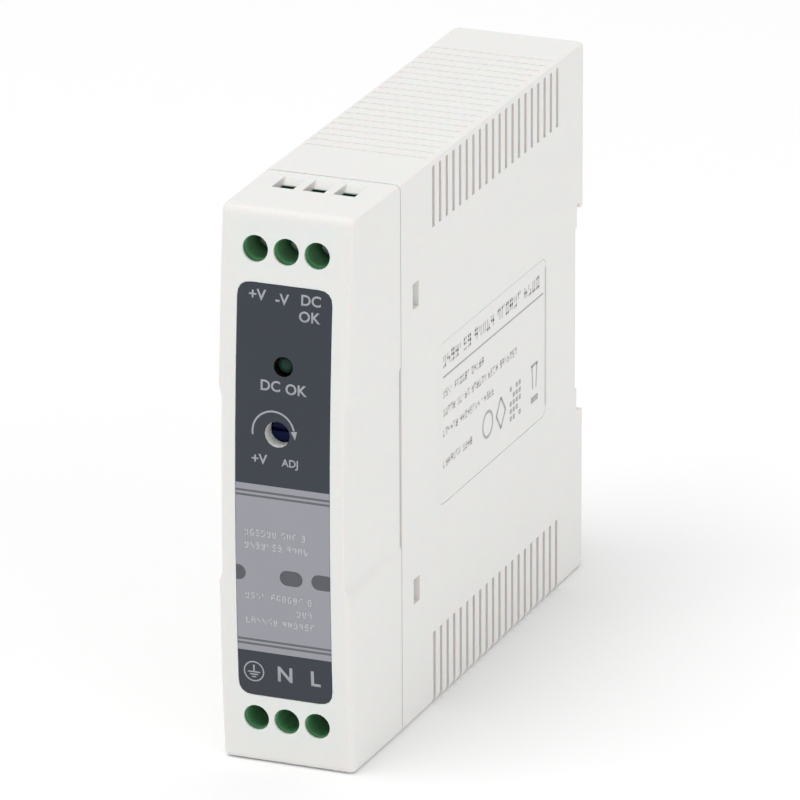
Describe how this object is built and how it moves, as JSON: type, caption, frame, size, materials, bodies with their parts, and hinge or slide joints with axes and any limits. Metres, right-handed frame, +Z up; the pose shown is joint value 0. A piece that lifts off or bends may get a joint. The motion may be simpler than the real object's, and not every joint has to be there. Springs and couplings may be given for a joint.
{
  "type": "din rail power supply",
  "caption": "Slim power supply for a 35 mm rail: hollow two-part case with cooling slots, screw terminals above and below, status light, voltage trimmer and sprung rail latch.",
  "frame": {"origin": "middle of the face that seats on the rail", "axes": "+X to the right seen from the front, +Y back towards the rail, +Z up"},
  "size_m": [0.0226, 0.1, 0.09],
  "materials": {
    "case_plastic": "fine matt texture, light grey-white",
    "label_film": "printed film, dark grey with light grey panel",
    "label_paper": "printed label, off-white",
    "latch_plastic": "fine matt texture, light grey",
    "terminal_green": "satin moulded, green",
    "plated_steel": "zinc plated",
    "tinned_brass": "tin plated",
    "spring_steel": "drawn wire",
    "board_green": "solder mask on glass-epoxy board",
    "led_green": "tinted clear lens",
    "trimmer_blue": "satin moulded, dark blue",
    "black_plastic": "satin moulded, black",
    "ferrite": "fired ferrite, dark grey",
    "tape_yellow": "polyester tape or moulded case, yellow",
    "capacitor_sleeve": "shrink sleeve, near black",
    "ceramic_blue": "dipped coating, blue",
    "heatsink": "mill finish",
    "copper_wire": "enamelled winding wire on a ferrite core"
  },
  "bodies": {
    "case": {"rear_housing": "case_plastic", "front_cover": "case_plastic", "front_label": "label_film", "side_label": "label_paper", "latch_spring": "spring_steel", "output_terminal_block": "terminal_green", "input_terminal_block": "terminal_green", "output_contact_1": "tinned_brass", "output_contact_2": "tinned_brass", "output_contact_3": "tinned_brass", "input_contact_1": "tinned_brass", "input_contact_2": "tinned_brass", "input_contact_3": "tinned_brass", "front_board": "board_green", "status_led": "led_green", "trimmer_body": "trimmer_blue", "main_board": "board_green", "board_connector": "black_plastic", "transformer_core": "ferrite", "transformer_bobbin": "black_plastic", "transformer_winding": "tape_yellow", "bulk_capacitor": "capacitor_sleeve", "output_capacitor_1": "capacitor_sleeve", "output_capacitor_2": "capacitor_sleeve", "line_choke": "copper_wire", "filter_capacitor": "tape_yellow", "fuse": "black_plastic", "varistor": "ceramic_blue", "inrush_thermistor": "black_plastic", "bridge_rectifier": "black_plastic", "switch_heatsink": "heatsink", "switch_transistor": "black_plastic", "diode_heatsink": "heatsink", "output_diode": "black_plastic", "output_inductor": "copper_wire", "optocoupler": "black_plastic"},
    "rail_latch": {"rail_latch": "latch_plastic"},
    "output_screw_1": {"output_screw_1": "plated_steel"},
    "output_clamp_1": {"output_clamp_1": "plated_steel"},
    "output_screw_2": {"output_screw_2": "plated_steel"},
    "output_clamp_2": {"output_clamp_2": "plated_steel"},
    "output_screw_3": {"output_screw_3": "plated_steel"},
    "output_clamp_3": {"output_clamp_3": "plated_steel"},
    "input_screw_1": {"input_screw_1": "plated_steel"},
    "input_clamp_1": {"input_clamp_1": "plated_steel"},
    "input_screw_2": {"input_screw_2": "plated_steel"},
    "input_clamp_2": {"input_clamp_2": "plated_steel"},
    "input_screw_3": {"input_screw_3": "plated_steel"},
    "input_clamp_3": {"input_clamp_3": "plated_steel"},
    "trimmer_shaft": {"trimmer_shaft": "trimmer_blue"}
  },
  "joints": [
    {"name": "output_screw_1_turn", "type": "hinge", "parent": "case", "child": "output_screw_1", "pos_m": [-0.00508, -0.088, 0.03805], "axis": [0, 1, 0], "range_deg": [0, 1080]},
    {"name": "output_clamp_1_rise", "type": "slide", "parent": "case", "child": "output_clamp_1", "axis": [0, -1, 0], "range_m": [0, 0.0015]},
    {"name": "output_screw_2_turn", "type": "hinge", "parent": "case", "child": "output_screw_2", "pos_m": [0, -0.088, 0.03805], "axis": [0, 1, 0], "range_deg": [0, 1080]},
    {"name": "output_clamp_2_rise", "type": "slide", "parent": "case", "child": "output_clamp_2", "axis": [0, -1, 0], "range_m": [0, 0.0015]},
    {"name": "output_screw_3_turn", "type": "hinge", "parent": "case", "child": "output_screw_3", "pos_m": [0.00508, -0.088, 0.03805], "axis": [0, 1, 0], "range_deg": [0, 1080]},
    {"name": "output_clamp_3_rise", "type": "slide", "parent": "case", "child": "output_clamp_3", "axis": [0, -1, 0], "range_m": [0, 0.0015]},
    {"name": "input_screw_1_turn", "type": "hinge", "parent": "case", "child": "input_screw_1", "pos_m": [-0.00508, -0.088, -0.03805], "axis": [0, 1, 0], "range_deg": [0, 1080]},
    {"name": "input_clamp_1_rise", "type": "slide", "parent": "case", "child": "input_clamp_1", "axis": [0, -1, 0], "range_m": [0, 0.0015]},
    {"name": "input_screw_2_turn", "type": "hinge", "parent": "case", "child": "input_screw_2", "pos_m": [0, -0.088, -0.03805], "axis": [0, 1, 0], "range_deg": [0, 1080]},
    {"name": "input_clamp_2_rise", "type": "slide", "parent": "case", "child": "input_clamp_2", "axis": [0, -1, 0], "range_m": [0, 0.0015]},
    {"name": "input_screw_3_turn", "type": "hinge", "parent": "case", "child": "input_screw_3", "pos_m": [0.00508, -0.088, -0.03805], "axis": [0, 1, 0], "range_deg": [0, 1080]},
    {"name": "input_clamp_3_rise", "type": "slide", "parent": "case", "child": "input_clamp_3", "axis": [0, -1, 0], "range_m": [0, 0.0015]},
    {"name": "trimmer_turn", "type": "hinge", "parent": "case", "child": "trimmer_shaft", "pos_m": [-0.0009, -0.088, 0.0092], "axis": [0, 1, 0], "range_deg": [-130, 130]},
    {"name": "latch_pull", "type": "slide", "parent": "case", "child": "rail_latch", "axis": [0, 0, -1], "range_m": [0, 0.0035], "stiffness_N_per_m": 800, "springref_m": -0.003, "deforming": ["latch_spring"]}
  ],
  "couplings": [
    {"joint": "output_screw_1_turn", "follows": "output_clamp_1_rise", "rad_per_m": 12566},
    {"joint": "output_screw_2_turn", "follows": "output_clamp_2_rise", "rad_per_m": 12566},
    {"joint": "output_screw_3_turn", "follows": "output_clamp_3_rise", "rad_per_m": 12566},
    {"joint": "input_screw_1_turn", "follows": "input_clamp_1_rise", "rad_per_m": 12566},
    {"joint": "input_screw_2_turn", "follows": "input_clamp_2_rise", "rad_per_m": 12566},
    {"joint": "input_screw_3_turn", "follows": "input_clamp_3_rise", "rad_per_m": 12566}
  ]
}
